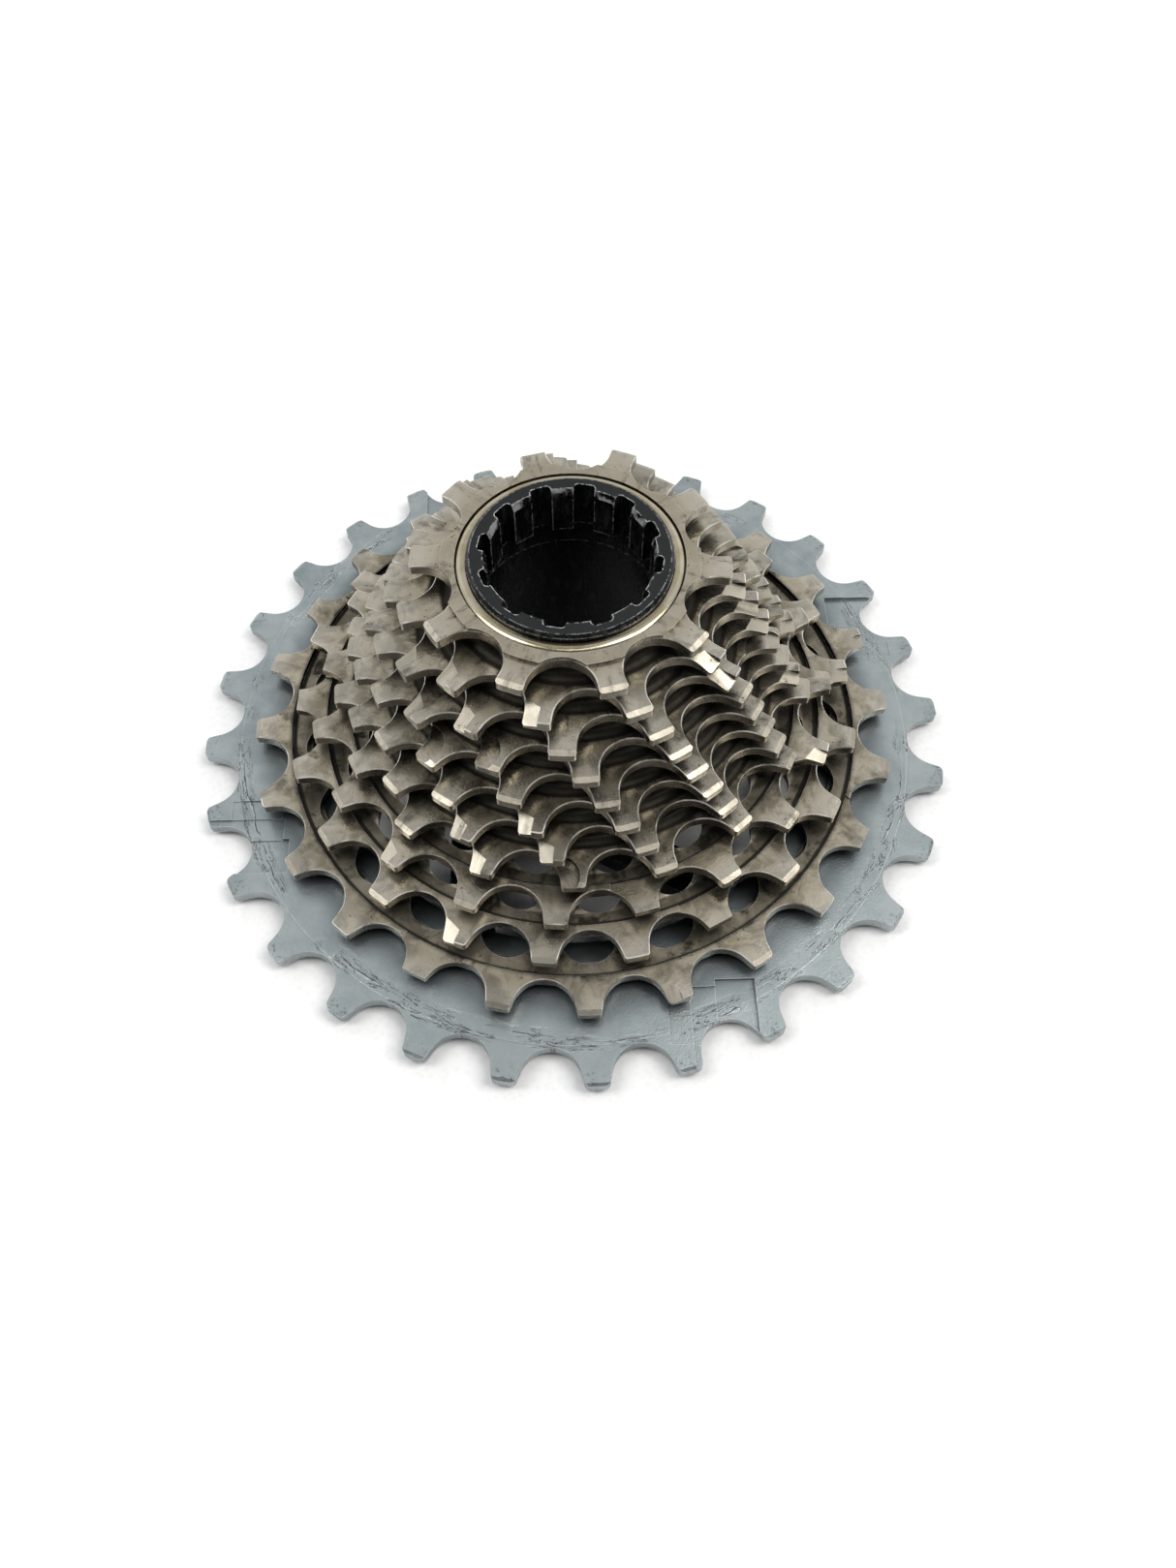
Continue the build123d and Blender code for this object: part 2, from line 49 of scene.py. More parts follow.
# place, width and length in metres, power in watts, colour
SOFTBOXES = {
    "right_softbox": ((0.37, -0.05, 0.66), (0.30, 0.50), 3.2, (1.0, 0.985, 0.96)),
    "left_softbox": ((-0.40, -0.04, 0.64), (0.26, 0.44), 2.0, (1.0, 1.0, 1.0)),
    "front_strip": ((0, -0.19, 0.70), (0.14, 0.10), 0.25, (1.0, 1.0, 1.0)),
}
SKY_TINT = (0.97, 0.985, 1.0)
SKY_FRONT_TO_BACK = (-0.02, 0.68)           # Y of the sky's direction
SKY_BACK_GLOW = (0.20, 0.95)                # dark front, bright back
SKY_MIDDLE_TO_SIDE = (0.04, 0.36)           # X of the sky's direction, on either side
SKY_SIDE_GLOW = (0.84, 1.18)

# ---- floor -----------------------------------------------------------------------------------
FLOOR_HALF = 1.5
FLOOR_WHITE = (0.86, 0.86, 0.855)
FLOOR_PALE = (0.90, 0.90, 0.90)
FLOOR_ROUGHNESS = 0.9
FLOOR_CELL = 0.9 * MM
FLOOR_CELL_EDGE = (0.2, 0.6)
FLOOR_GLOW_RADIUS = (50 * MM, 95 * MM)      # no glow inside the first radius, full past the second
FLOOR_GLOW = 0.45

# ---- all materials ---------------------------------------------------------------------------
# A range gives the value where a mark starts and the value where it is full, or what comes out
# at those two ends. A slope is the upward part of the surface normal. A noise pattern has a size
# in metres.
EDGE_TURN = (0.98, 0.80)                    # dot product of the rounded normal and the real one
BEVEL_SAMPLES = 4
CAVITY_SAMPLES = 6

# ---- nickel-coated steel ---------------------------------------------------------------------
NICKEL = (0.465, 0.418, 0.328)
NICKEL_DULL = (0.365, 0.322, 0.242)
NICKEL_BRIGHT = (0.86, 0.83, 0.76)
SANDY = (0.34, 0.31, 0.25)
SHADED_WALL_STEEL = (0.22, 0.205, 0.18)
TARNISH = (0.120, 0.103, 0.070)
GRIME_AND_SHADE = (0.017, 0.016, 0.013)

CHAIN_PITCH = 12.7 * MM
ROOT_BELOW_PITCH = 4.3 * MM
WEBBED = ("sprocket_24t", "sprocket_21t", "sprocket_19t")
RIM_BELOW_ROOT = 0.7 * MM                   # inner edge of a webbed sprocket's rim
# how much grime and painted shade lie inside the tooth roots; the smallest sprocket's raised face is
# clean and unshaded
INNER_GRIME_AND_SHADE = {node: 0.55 if node in WEBBED else 1.0 for node in STEEL_NODES}
INNER_GRIME_AND_SHADE["sprocket_10t"] = 0.0
TOOTH_TARNISH = {node: 0.10 if node == "sprocket_10t" else 0.65 for node in STEEL_NODES}
# soot mixed with painted shade in crevices; less on the smallest sprocket
CREVICE_SOOT_AND_SHADE = {node: 0.45 if node == "sprocket_10t" else 1.0 for node in STEEL_NODES}

SMUDGE = dict(size=5 * MM, detail=6.0, rough=0.60, distortion=0.5)
FINE = dict(size=0.30 * MM, detail=2.0)
STREAK = dict(size=1.5 * MM, detail=6.0, rough=0.66, distortion=0.4)
SPECK = dict(size=0.55 * MM, detail=3.0, rough=0.6)
SPECK_PATCH = dict(size=6 * MM, detail=1.0)
BLOTCH = dict(size=4.5 * MM, detail=6.0, rough=0.62, distortion=0.8)
STREAK_WRAP = 14 * MM                       # metres of streak per radian round the axis
STREAK_ACROSS = 0.35                        # metres of streak per metre of radius
TURNING_PITCH = 0.45 * MM                   # lines left by the lathe
CAVITY_REACH = 4 * MM
BRIGHT_EDGE = 0.13 * MM

WALL_SLOPE = (0.75, 0.35)
RAMP_SLOPE = ((0.80, 0.86), (0.985, 0.955))         # chain ramps lean a little
BEVEL_SLOPE = ((0.58, 0.66), (0.82, 0.75))          # broken edges of the teeth
UNDERSIDE_SLOPE = (-0.3, -0.7)
TIP_ZONE = (4.4 * MM, 1.0 * MM)                     # inwards from the tip
GRIME_AND_SHADE_ZONE = (0.15 * MM, 0.75 * MM)                 # inwards from the tooth roots; grime and painted shade
BEVEL_ZONE = (0.6 * MM, 0.2 * MM)                   # inwards from the tooth roots
SEAM_SHADE_ZONE = ((-0.05 * MM, 0.05 * MM), (1.1 * MM, 0.6 * MM))     # inwards from the rim's edge; painted shade in the groove there

DULL_SMUDGE = (0.35, 0.68)
TARNISH_BLOTCH = (0.40, 0.62)
SPECK_EDGE = (0.645, 0.69)
SPECK_PATCH_EDGE = (0.45, 0.58)
STAIN_STREAK = (0.50, 0.70)
SOOT_AND_SHADE_EDGE = (0.22, 0.75)
GROOVE_EDGE = (0.30, 0.80)
GROOVE_GRIME_AND_SHADE = (0.82, 1.0)                  # thinnest and thickest grime, with painted shade, in a groove
OPEN_CAVITY = (0.90, 0.60)                  # no bright edge line deep in a cavity
CLEAN_STREAK = (0.60, 0.42)
LINE_IN_STREAK = (0.25, 1.0)                # how much of an edge line shows, dirty to clean
GLOSS_SMUDGE = (0.3, 0.75)
GLOSS_ROUGHNESS = (0.22, 0.36)

TIP_SHINE = 0.22
SAND_ON_RAMP = 0.50
SHADE_ON_WALL = 0.70
SOOT_AND_SHADE_UNEVEN = 1.3
# painted shade on surfaces that face down
UNDERSIDE_SHADE = 0.85
STAIN_GRIME = 0.60
SPECK_GRIME = 0.8
GRIME_AND_SHADE_COVER = 0.96
LINE_AT_ROOT = 0.65                         # the rest of an edge line's strength is at the tip
LINE_NOT_METAL = 0.70                       # bare edges with painted highlights scatter light from every side
DIRT_AND_SHADE_ROUGHNESS = 0.18
RAMP_ROUGHNESS = 0.10
FINE_RELIEF = 0.7
SMUDGE_RELIEF = 0.9
TURNING_RELIEF = 0.02
STREAK_RELIEF = 0.8
STEEL_RELIEF_DEPTH = 0.030 * MM

# ---- blue-grey anodised aluminium --------------------------------------------------------------
GREY_BLUE = (0.40, 0.44, 0.445)
GREY_BLUE_DEEP = (0.26, 0.298, 0.308)
GREY_BLUE_SHADE = (0.085, 0.095, 0.10)
GREY_BLUE_SPECK = (0.10, 0.105, 0.11)
GREY_BLUE_CAVITY_SHADE = (0.07, 0.08, 0.09)
GREY_BLUE_WORN_AND_LIT = (0.80, 0.83, 0.84)
SCRATCH = (0.06, 0.065, 0.07)

CLOUD = dict(size=7 * MM, detail=5.0, rough=0.6)
TIP_SPECKLE = dict(size=0.55 * MM, detail=3.0, rough=0.7)
SCAR = dict(size=2.0 * MM, detail=7.0, rough=0.72, distortion=1.4)
SCAR_PATCH = dict(size=8 * MM, detail=1.0)
WANDER = dict(size=3.0 * MM, detail=5.0, rough=0.6)
WORN_ARC = dict(size=12 * MM, detail=1.0)
SCAR_WRAP = 9 * MM                          # metres of scar per radian round the axis

CHAIN_LINE_RADIUS = 51.4 * MM               # where the chain rubs a line into the teeth
CHAIN_LINE_WANDER = 5.0 * MM                # how far the line would stray over the noise's full range
CHAIN_LINE_EDGE = (0.14 * MM, 0.05 * MM)    # to either side of the line
CHAIN_LINE_LIT = ((0.04 * MM, 0.12 * MM), (0.32 * MM, 0.20 * MM))     # outwards from the line
SCARRED_RADIUS = ((49.5 * MM, 51.2 * MM), (53.2 * MM, 52.5 * MM))
SHADED_RADIUS = (50.0 * MM, 45.5 * MM)      # painted shadow under the next sprocket
WORN_TIP_ZONE = (3.5 * MM, 0.8 * MM)        # inwards from the tip
GREY_CAVITY_REACH = 5 * MM
WORN_AND_LIT_EDGE = 0.14 * MM

TIP_SPECKLE_EDGE = (0.54, 0.66)
SCAR_PATCH_EDGE = (0.44, 0.56)
WORN_ARC_EDGE = (0.50, 0.58)
DARK_CREASE = (0.011, 0.003)
LIGHT_CREASE = ((0.030, 0.016), (0.012, 0.018))
DEEP_CLOUD = (0.3, 0.7)
GREY_GLOSS_CLOUD = (0.25, 0.75)
GREY_GLOSS_ROUGHNESS = (0.28, 0.42)

SHADE_COVER = 0.55
SPECKLE_COVER = 0.7
GREY_CAVITY_SHADE_COVER = 0.6
LIT_SIDE_COVER = 0.35
WORN_AND_LIT_EDGE_COVER = 0.85
LIGHT_SCAR_COVER = 0.5
DARK_SCAR_COVER = 0.8
CLOUD_RELIEF = 1.5
SCAR_RELIEF = -1.5
GREY_RELIEF_DEPTH = 0.025 * MM
ANODISED_METALLIC = 0.9

# ---- black anodising ----------------------------------------------------------------------------
BLACK_COAT = (0.004, 0.0045, 0.005)
BLACK_RUN = (0.050, 0.052, 0.052)
BLACK_DUST = (0.007, 0.009, 0.0095)
BARE_METAL = (0.85, 0.85, 0.84)

BLACK_GRAIN = dict(size=0.22 * MM, detail=2.0)
OIL_RUN = dict(size=1.2 * MM, detail=5.0, rough=0.7)
CHIP = dict(size=0.8 * MM, detail=4.0, rough=0.75)
RUB = dict(size=2.4 * MM, detail=5.0)
OIL_RUN_STRETCH = (1.0, 1.0, 0.3)
CHIPPED_EDGE = 0.30 * MM

FLAT_SLOPE = (0.80, 0.98)
LEAD_SLOPE = ((0.20, 0.28), (0.60, 0.45))   # the leaning surface that leads a tool in
CHIP_EDGE = (0.44, 0.54)
RUB_EDGE = (0.46, 0.60)
OIL_RUN_COLOUR_EDGE = (0.45, 0.80)
OIL_RUN_GLOSS_EDGE = (0.35, 0.65)

RUB_WEAR = 0.55
DUST_COVER = 0.8
DUST_ROUGHNESS = 0.30
RUN_ROUGHNESS = 0.20
RUN_RELIEF = 2.0
BLACK_RELIEF_DEPTH = 0.030 * MM
BLACK_METALLIC = 0.3
BLACK_SHEEN = 0.36
TUBE_ROUGHNESS = 0.14
TUBE_WEAR = 1.0
SPIDER_ROUGHNESS = 0.42
SPIDER_WEAR = 0.25

# ---- retaining ring and drive pins ----------------------------------------------------------------
RING_GOLD = (0.40, 0.345, 0.225)
RING_GOLD_PALE = (0.52, 0.47, 0.36)
RING_GOLD_SHADE = (0.10, 0.075, 0.04)
RING_LINE = dict(size=0.25 * MM, detail=2.0)
RING_STAIN = dict(size=4 * MM, detail=3.0)
RING_LINE_WRAP = 0.4 * MM                   # metres of turned line per radian round the axis
RING_STAIN_EDGE = (0.35, 0.65)
RING_CAVITY_REACH = 0.8 * MM
RING_CAVITY_SHADE_COVER = 0.5
RING_LINE_DEPTH = 0.012 * MM
RING_GLOSS_LINE = (0.3, 0.7)
RING_ROUGHNESS = (0.16, 0.28)

PIN_DARK = (0.46, 0.46, 0.46)
PIN_LIGHT = (0.64, 0.63, 0.61)
PIN_GRAIN = dict(size=0.3 * MM, detail=3.0)
PIN_GRAIN_DEPTH = 0.02 * MM
PIN_GLOSS_GRAIN = (0.3, 0.7)
PIN_ROUGHNESS = (0.25, 0.40)


# ---- node trees ---------------------------------------------------------------------------------
class Nodes:
    """Adds nodes to a tree with short calls that each return a socket."""

    def __init__(self, tree):
        self.tree = tree

    def add(self, kind):
        return self.tree.nodes.new(kind)

    def feed(self, socket, value):
        if isinstance(value, bpy.types.NodeSocket):
            self.tree.links.new(value, socket)
        elif isinstance(value, tuple) and len(value) == 3 and socket.type == "RGBA":
            socket.default_value = (*value, 1.0)
        else:
            socket.default_value = value

    def math(self, operation, first, second=0.0):
        node = self.add("ShaderNodeMath")
        node.operation = operation
        self.feed(node.inputs[0], first)
        self.feed(node.inputs[1], second)
        return node.outputs[0]

    def product(self, *factors):
        return reduce(lambda left, right: self.math("MULTIPLY", left, right), factors)

    def total(self, *terms, clamp=False):
        """Sum of the terms, held between 0 and 1 if clamp is set."""
        result = reduce(lambda left, right: self.math("ADD", left, right), terms)
        result.node.use_clamp = clamp
        return result

    def largest(self, *values):
        return reduce(lambda left, right: self.math("MAXIMUM", left, right), values)

    def ramp(self, value, low, high, to_low=0.0, to_high=1.0, smooth=True):
        """Value carried from to_low at low to to_high at high."""
        node = self.add("ShaderNodeMapRange")
        node.interpolation_type = "SMOOTHSTEP" if smooth else "LINEAR"
        self.feed(node.inputs["Value"], value)
        node.inputs["From Min"].default_value = low
        node.inputs["From Max"].default_value = high
        node.inputs["To Min"].default_value = to_low
        node.inputs["To Max"].default_value = to_high
        return node.outputs["Result"]

    def band(self, value, rise, fall):
        """1 where value is past both ranges, smooth at either side."""
        return self.product(self.ramp(value, *rise), self.ramp(value, *fall))

    def axes(self, vector):
        node = self.add("ShaderNodeSeparateXYZ")
        self.feed(node.inputs[0], vector)
        return node.outputs[0], node.outputs[1], node.outputs[2]


class Surface(Nodes):
    """One material: its patterns, its masks and its principled shader. The slope is the upward
    part of the normal, and the radius is the distance from the wheel axis."""

    def __init__(self, name):
        self.material = bpy.data.materials.new(name)
        self.material.use_nodes = True
        super().__init__(self.material.node_tree)
        self.shader = self.tree.nodes["Principled BSDF"]
        self.place = self.add("ShaderNodeTexCoord").outputs["Object"]
        self.normal = self.add("ShaderNodeNewGeometry").outputs["Normal"]
        self.slope = self.axes(self.normal)[2]
        self.x, self.y, self.height = self.axes(self.place)
        squares = self.total(self.product(self.x, self.x), self.product(self.y, self.y))
        self.radius = self.math("SQRT", squares)

    def vector(self, x, y, z):
        node = self.add("ShaderNodeCombineXYZ")
        for socket, value in zip(node.inputs, (x, y, z)):
            self.feed(socket, value)
        return node.outputs[0]

    def stretched(self, scale):
        """Object coordinates scaled by axis, for a pattern drawn out along one of them."""
        node = self.add("ShaderNodeMapping")
        self.feed(node.inputs["Vector"], self.place)
        node.inputs["Scale"].default_value = scale
        return node.outputs["Vector"]

    def noise(self, size, detail, rough=0.55, distortion=0.0, where=None):
        """Noise whose features are about size across."""
        node = self.add("ShaderNodeTexNoise")
        self.feed(node.inputs["Vector"], where or self.place)
        node.inputs["Scale"].default_value = 1 / size
        node.inputs["Detail"].default_value = detail
        node.inputs["Roughness"].default_value = rough
        node.inputs["Distortion"].default_value = distortion
        return node.outputs["Fac"]

    def cells(self, size):
        """Distance from the middle of cells that are about size across."""
        node = self.add("ShaderNodeTexVoronoi")
        self.feed(node.inputs["Vector"], self.place)
        node.inputs["Scale"].default_value = 1 / size
        return node.outputs["Distance"]

    def mix(self, amount, first, second):
        node = self.add("ShaderNodeMix")
        node.data_type = "RGBA"
        self.feed(node.inputs["Factor"], amount)
        self.feed(node.inputs["A"], first)
        self.feed(node.inputs["B"], second)
        return node.outputs["Result"]

    def wrapped(self, stretch, across):
        """Coordinates for a pattern that runs round the axis without a seam: stretch metres
        per radian along the arc, and the value across as the third direction."""
        scale = self.math("DIVIDE", stretch, self.radius)
        return self.vector(self.product(self.x, scale), self.product(self.y, scale), across)

    def edges(self, width):
        """1 on edges within width, 0 on open faces."""
        bevel = self.add("ShaderNodeBevel")
        bevel.samples = BEVEL_SAMPLES
        bevel.inputs["Radius"].default_value = width
        dot = self.add("ShaderNodeVectorMath")
        dot.operation = "DOT_PRODUCT"
        self.feed(dot.inputs[0], bevel.outputs["Normal"])
        self.feed(dot.inputs[1], self.normal)
        return self.ramp(dot.outputs["Value"], *EDGE_TURN)

    def cavity(self, reach):
        """1 deep between close walls, 0 in the open."""
        node = self.add("ShaderNodeAmbientOcclusion")
        node.samples = CAVITY_SAMPLES
        node.inputs["Distance"].default_value = reach
        return self.math("SUBTRACT", 1.0, node.outputs["AO"])

    def centred(self, noise):
        """Noise shifted so that it lies either side of zero."""
        return self.math("SUBTRACT", noise, 0.5)

    def bump(self, height, depth):
        node = self.add("ShaderNodeBump")
        node.inputs["Strength"].default_value = 1.0
        node.inputs["Distance"].default_value = depth
        self.feed(node.inputs["Height"], height)
        self.feed(self.shader.inputs["Normal"], node.outputs["Normal"])

    def finish(self, colour, roughness, metallic=1.0):
        self.feed(self.shader.inputs["Base Color"], colour)
        self.feed(self.shader.inputs["Roughness"], roughness)
        self.feed(self.shader.inputs["Metallic"], metallic)
        return self.material


def inwards(edge, zone):
    """Radii at the two distances of zone inside the radius edge."""
    return edge - zone[0], edge - zone[1]


def root_radius(node):
    """Radius of the tooth roots, from the number of teeth in the node's name."""
    teeth = int(node.removeprefix("sprocket_").removesuffix("t"))
    return CHAIN_PITCH / 2 / math.sin(math.pi / teeth) - ROOT_BELOW_PITCH


# ---- materials ------------------------------------------------------------------------------------
class Steel(Surface):
    """Steel of one sprocket, with the patterns and masks that its layers share."""

    def __init__(self, node):
        super().__init__(f"{node}_steel")
        self.node = node
        self.root = root_radius(node)
        self.smudge = self.noise(**SMUDGE)
        across = self.total(self.product(self.radius, STREAK_ACROSS), self.height)
        self.streak = self.noise(**STREAK, where=self.wrapped(STREAK_WRAP, across))
        self.depth = self.cavity(CAVITY_REACH)
        self.ramped = self.band(self.slope, *RAMP_SLOPE)
        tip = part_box(node)[1].x
        self.near_tip = self.ramp(self.radius, *inwards(tip, TIP_ZONE))

    def tint(self):
        """Satin nickel, dull in smudges, tarnished in blotches, sandy on ramps, with painted shade on
        the walls.
        """
        dull = self.ramp(self.smudge, *DULL_SMUDGE)
        tarnish = self.ramp(self.noise(**BLOTCH), *TARNISH_BLOTCH, 0.0, TOOTH_TARNISH[self.node])
        # painted shade on steep walls
        wall = self.ramp(self.slope, *WALL_SLOPE)
        colour = self.mix(dull, NICKEL, NICKEL_DULL)
        colour = self.mix(tarnish, colour, TARNISH)
        colour = self.mix(self.product(self.near_tip, TIP_SHINE), colour, NICKEL_BRIGHT)
        colour = self.mix(self.product(self.ramped, SAND_ON_RAMP), colour, SANDY)
        return self.mix(self.product(wall, SHADE_ON_WALL), colour, SHADED_WALL_STEEL)

    def groove(self):
        """Grime and painted shade inside the tooth roots, and painted shade in the seam inside a
        webbed sprocket's rim.
        """
        inside = self.ramp(self.radius, *inwards(self.root, GRIME_AND_SHADE_ZONE), 0.0, INNER_GRIME_AND_SHADE[self.node])
        thickness = self.ramp(self.total(self.streak, self.depth), *GROOVE_EDGE, *GROOVE_GRIME_AND_SHADE)
        groove = self.product(inside, thickness)
        if self.node not in WEBBED:
            return groove
        # painted shade in the groove just inside the rim
        outer, inner = SEAM_SHADE_ZONE
        rim = self.root - RIM_BELOW_ROOT
        return self.largest(groove, self.band(self.radius, inwards(rim, outer), inwards(rim, inner)))

    def dirt_and_shade(self):
        """Soot and painted shade in crevices, grime and painted shade in grooves, painted shade
        underneath, stains and sparse specks.
        """
        # soot and painted shade where walls close in, made uneven along the streaks
        uneven = self.product(self.centred(self.streak), SOOT_AND_SHADE_UNEVEN)
        soot_and_shade = self.ramp(self.total(self.depth, uneven), *SOOT_AND_SHADE_EDGE, 0.0, CREVICE_SOOT_AND_SHADE[self.node])
        # painted shade on surfaces that face down
        under = self.ramp(self.slope, *UNDERSIDE_SLOPE, 0.0, UNDERSIDE_SHADE)
        stain = self.product(self.ramp(self.streak, *STAIN_STREAK), STAIN_GRIME)
        specks = self.product(self.ramp(self.noise(**SPECK), *SPECK_EDGE),
                              self.ramp(self.noise(**SPECK_PATCH), *SPECK_PATCH_EDGE), SPECK_GRIME)
        return self.total(self.largest(soot_and_shade, self.groove(), under), stain, specks, clamp=True)

    def edge_wear_and_highlight(self):
        """Bare metal with a painted highlight on edges and bevels, strongest at the tips and broken by
        dirty streaks.
        """
        bevel = self.product(self.band(self.slope, *BEVEL_SLOPE),
                             self.ramp(self.radius, *inwards(self.root, BEVEL_ZONE)))
        in_the_open = self.ramp(self.depth, *OPEN_CAVITY)
        in_the_clean = self.ramp(self.streak, *CLEAN_STREAK, *LINE_IN_STREAK)
        towards_tip = self.total(LINE_AT_ROOT, self.product(self.near_tip, 1 - LINE_AT_ROOT))
        line = self.largest(bevel, self.edges(BRIGHT_EDGE))
        return self.product(line, in_the_open, in_the_clean, towards_tip)

    def roughness(self, dirt_and_shade):
        return self.total(self.ramp(self.smudge, *GLOSS_SMUDGE, *GLOSS_ROUGHNESS),
                          self.product(dirt_and_shade, DIRT_AND_SHADE_ROUGHNESS),
                          self.product(self.ramped, RAMP_ROUGHNESS), clamp=True)

    def relief(self):
        """Fine grain, smudges and streaks over the faint rings that turning left."""
        turning = self.math("SINE", self.product(self.radius, 2 * math.pi / TURNING_PITCH))
        return self.total(self.product(self.noise(**FINE), FINE_RELIEF),
                          self.product(self.smudge, SMUDGE_RELIEF),
                          self.product(turning, TURNING_RELIEF),
                          self.product(self.streak, STREAK_RELIEF))


def nickel_steel(node):
    """Nickel-coated steel of one sprocket: satin faces, sandy worn ramps and tips, bare edge lines
    with painted highlights, and black oily grime that streaks down into the grooves and tooth gaps,
    mixed there with painted shade."""
    steel = Steel(node)
    dirt_and_shade = steel.dirt_and_shade()
    line = steel.edge_wear_and_highlight()
    # grime and stains, with painted shade in crevices, grooves and on undersides
    colour = steel.mix(steel.product(dirt_and_shade, GRIME_AND_SHADE_COVER), steel.tint(), GRIME_AND_SHADE)
    # bare edges with painted highlights
    colour = steel.mix(line, colour, NICKEL_BRIGHT)
    metallic = steel.math("SUBTRACT", 1.0, steel.product(line, LINE_NOT_METAL))
    steel.bump(steel.relief(), STEEL_RELIEF_DEPTH)
    return steel.finish(colour, steel.roughness(dirt_and_shade), metallic)


def chain_marks(grey):
    """Masks of what the chain left inside the teeth: dark scars, light scars, and the lit side
    of the line it rubs."""
    arc = grey.wrapped(SCAR_WRAP, grey.radius)
    zone = grey.product(grey.band(grey.radius, *SCARRED_RADIUS),
                        grey.ramp(grey.noise(**SCAR_PATCH), *SCAR_PATCH_EDGE))
    crease = grey.math("ABSOLUTE", grey.centred(grey.noise(**SCAR, where=arc)))
    wander = grey.product(grey.centred(grey.noise(**WANDER, where=arc)), CHAIN_LINE_WANDER)
    off_line = grey.math("SUBTRACT", grey.radius, grey.total(wander, CHAIN_LINE_RADIUS))
    worn_arc = grey.ramp(grey.noise(**WORN_ARC), *WORN_ARC_EDGE)
    rubbed = grey.product(grey.ramp(grey.math("ABSOLUTE", off_line), *CHAIN_LINE_EDGE), worn_arc)
    dark = grey.largest(grey.product(grey.ramp(crease, *DARK_CREASE), zone), rubbed)
    light = grey.product(grey.band(crease, *LIGHT_CREASE), zone)
    lit_side = grey.product(grey.band(off_line, *CHAIN_LINE_LIT), worn_arc)
    return dark, light, lit_side


def grey_anodised(node):
    """Blue-grey anodised aluminium: chain scars and fine scratches inside the teeth, worn tips,
    a painted shadow under the next sprocket, painted shade in cavities, and bare edges with painted
    highlights."""
    grey = Surface(f"{node}_anodised")
    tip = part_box(node)[1].x
    cloud = grey.noise(**CLOUD)
    dark_scar, light_scar, lit_side = chain_marks(grey)
    shade = grey.ramp(grey.radius, *SHADED_RADIUS)
    near_tip = grey.ramp(grey.radius, *inwards(tip, WORN_TIP_ZONE))
    speckle = grey.product(near_tip, grey.ramp(grey.noise(**TIP_SPECKLE), *TIP_SPECKLE_EDGE))
    cavity = grey.cavity(GREY_CAVITY_REACH)

    colour = grey.mix(grey.ramp(cloud, *DEEP_CLOUD), GREY_BLUE, GREY_BLUE_DEEP)
    # painted shadow of the next sprocket
    colour = grey.mix(grey.product(shade, SHADE_COVER), colour, GREY_BLUE_SHADE)
    colour = grey.mix(grey.product(speckle, SPECKLE_COVER), colour, GREY_BLUE_SPECK)
    # painted shade in cavities
    colour = grey.mix(grey.product(cavity, GREY_CAVITY_SHADE_COVER), colour, GREY_BLUE_CAVITY_SHADE)
    colour = grey.mix(grey.product(lit_side, LIT_SIDE_COVER), colour, GREY_BLUE_WORN_AND_LIT)
    # bare edges with painted highlights
    colour = grey.mix(grey.product(grey.edges(WORN_AND_LIT_EDGE), WORN_AND_LIT_EDGE_COVER), colour, GREY_BLUE_WORN_AND_LIT)
    colour = grey.mix(grey.product(light_scar, LIGHT_SCAR_COVER), colour, GREY_BLUE_WORN_AND_LIT)
    colour = grey.mix(grey.product(dark_scar, DARK_SCAR_COVER), colour, SCRATCH)
    rough = grey.ramp(cloud, *GREY_GLOSS_CLOUD, *GREY_GLOSS_ROUGHNESS)
    relief = grey.total(grey.noise(**FINE), grey.product(cloud, CLOUD_RELIEF),
                        grey.product(dark_scar, SCAR_RELIEF))
    grey.bump(relief, GREY_RELIEF_DEPTH)
    return grey.finish(colour, rough, ANODISED_METALLIC)


def black_coat(name, roughness, wear):
    """Black anodising: bare metal glints where the edges are chipped, dust on flat faces, oily
    gloss on the walls."""
    black = Surface(name)
    grain = black.noise(**BLACK_GRAIN)
    runs = black.noise(**OIL_RUN, where=black.stretched(OIL_RUN_STRETCH))
    flat = black.ramp(black.slope, *FLAT_SLOPE)
    chipped = black.product(black.edges(CHIPPED_EDGE), black.ramp(black.noise(**CHIP), *CHIP_EDGE))
    rubbed = black.product(black.band(black.slope, *LEAD_SLOPE),
                           black.ramp(black.noise(**RUB), *RUB_EDGE))
    bare = black.largest(chipped, black.product(rubbed, RUB_WEAR))

    colour = black.mix(black.ramp(runs, *OIL_RUN_COLOUR_EDGE), BLACK_COAT, BLACK_RUN)
    colour = black.mix(black.product(flat, DUST_COVER), colour, BLACK_DUST)
    colour = black.mix(black.product(bare, wear), colour, BARE_METAL)
    gloss = black.ramp(runs, *OIL_RUN_GLOSS_EDGE, roughness, roughness + RUN_ROUGHNESS)
    rough = black.total(gloss, black.product(flat, DUST_ROUGHNESS), clamp=True)
    black.bump(black.total(grain, black.product(runs, RUN_RELIEF)), BLACK_RELIEF_DEPTH)
    black.shader.inputs["Specular IOR Level"].default_value = BLACK_SHEEN
    return black.finish(colour, rough, BLACK_METALLIC)


